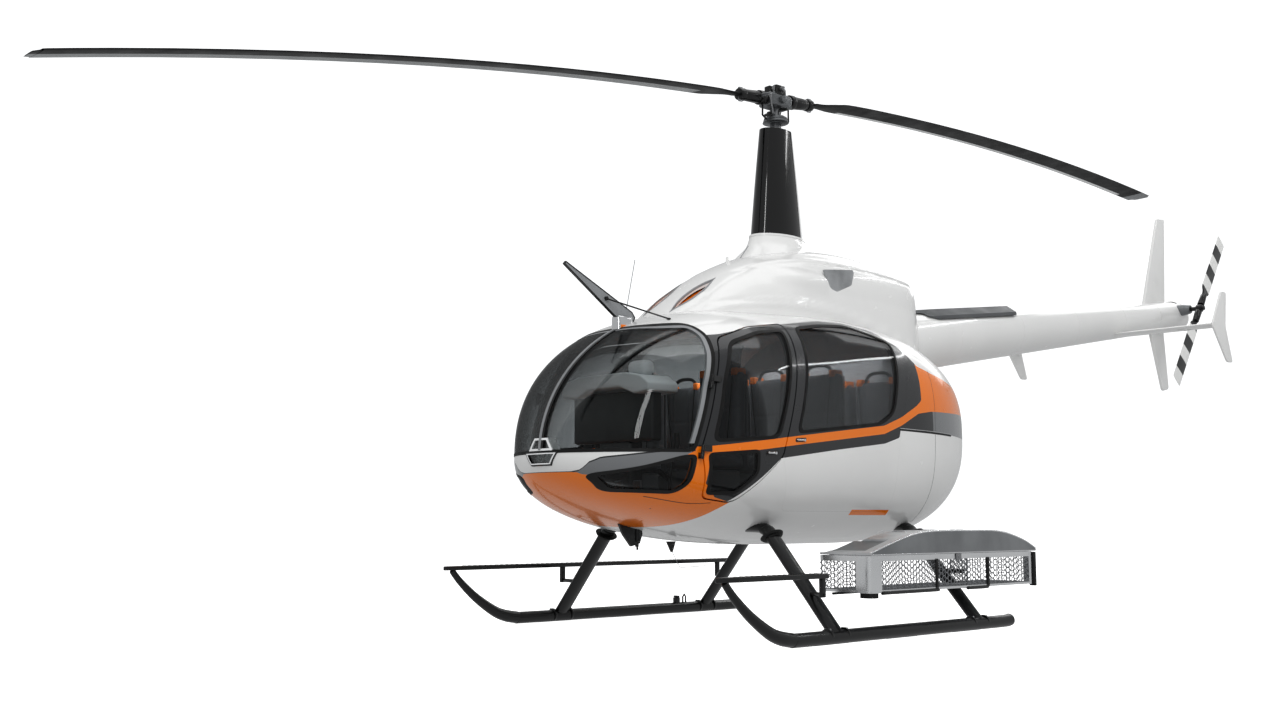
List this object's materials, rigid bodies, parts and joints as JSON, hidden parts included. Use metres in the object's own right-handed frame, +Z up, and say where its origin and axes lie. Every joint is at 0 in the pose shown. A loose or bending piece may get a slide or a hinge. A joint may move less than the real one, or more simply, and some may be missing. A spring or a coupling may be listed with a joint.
{
  "type": "helicopter",
  "caption": "Light turbine helicopter on skids with a rounded glazed cabin, tall mast, teetering main rotor, tail boom with tail rotor and a side cargo basket.",
  "frame": {"origin": "on the ground under the middle of the whole machine's box; the rotor mast's axis passes X -0.056, Y -0.961", "axes": "-Y towards the nose, +X towards the port side, +Z up"},
  "size_m": [2.913, 13.1164, 4.2859],
  "materials": {
    "white_paint": "gloss enamel",
    "orange_paint": "gloss enamel",
    "black_paint": "satin enamel",
    "steel": "machined",
    "brushed_aluminium": "brushed",
    "glass": "polished acrylic",
    "leather": "grained",
    "grey_plastic": "moulded",
    "primer": "matt primer"
  },
  "bodies": {
    "airframe": {"aft_body": "white_paint", "basket": "brushed_aluminium", "basket_inner_wall": "brushed_aluminium", "basket_outer_walls": "brushed_aluminium", "belly_tub": "white_paint", "boom_heat_shield": "grey_plastic", "cabin_floor": "grey_plastic", "chin_window_left": "glass", "chin_window_right": "glass", "cowling": "white_paint", "cross_tube_front": "black_paint", "cross_tube_rear": "black_paint", "endplate_left": "white_paint", "endplate_right": "white_paint", "engine_block": "steel", "exhaust_pipe": "steel", "fin": "white_paint", "firewall": "primer", "instrument_console": "grey_plastic", "main_gearbox": "steel", "mast_fairing": "black_paint", "nose_bowl": "orange_paint", "nose_lamp": "black_paint", "rear_door_left": "white_paint", "rear_door_right": "white_paint", "rear_window_left": "glass", "rear_window_right": "glass", "roof_shell": "white_paint", "seat_front_left": "leather", "seat_front_right": "leather", "seat_row_middle": "leather", "seat_row_rear": "leather", "skid_left": "black_paint", "skid_right": "black_paint", "stabiliser": "white_paint", "step_left": "black_paint", "step_right": "black_paint", "tail_boom": "white_paint", "tail_gearbox": "steel", "windscreen_left": "glass", "windscreen_post": "white_paint", "windscreen_right": "glass", "wire_cutter_lower": "black_paint", "wire_cutter_upper": "steel"},
    "front_door_left": {"front_door_left": "white_paint", "front_window_left": "glass", "lower_window_left": "glass"},
    "front_door_right": {"front_door_right": "white_paint", "front_window_right": "glass", "lower_window_right": "glass"},
    "main_rotor": {"rotor_mast": "steel", "rotor_hub": "steel", "main_blade_forward": "black_paint", "main_blade_aft": "black_paint"},
    "tail_rotor": {"tail_hub": "black_paint", "tail_blade_upper": "white_paint", "tail_blade_lower": "white_paint"},
    "basket_lid": {"basket_lid": "brushed_aluminium"}
  },
  "joints": [
    {"name": "front_door_left_hinge", "type": "hinge", "parent": "airframe", "child": "front_door_left", "pos_m": [0.8225, -2.7051, 1.365], "axis": [-0.0197, -0.1771, -0.984], "range_deg": [0, 75]},
    {"name": "front_door_right_hinge", "type": "hinge", "parent": "airframe", "child": "front_door_right", "pos_m": [-0.9335, -2.7051, 1.365], "axis": [-0.0197, 0.1771, 0.984], "range_deg": [0, 75]},
    {"name": "main_rotor_spin", "type": "hinge", "parent": "airframe", "child": "main_rotor", "pos_m": [-0.0555, -0.9611, 4.105], "axis": [0, 0, 1], "continuous": true},
    {"name": "tail_rotor_spin", "type": "hinge", "parent": "airframe", "child": "tail_rotor", "pos_m": [0.3055, 5.8249, 3.125], "axis": [1, 0, 0], "continuous": true},
    {"name": "basket_lid_hinge", "type": "hinge", "parent": "airframe", "child": "basket_lid", "pos_m": [1.0145, -0.8361, 0.57], "axis": [0, -1, 0], "range_deg": [0, 70]}
  ],
  "couplings": [
    {"joint": "tail_rotor_spin", "follows": "main_rotor_spin", "ratio": 6}
  ]
}
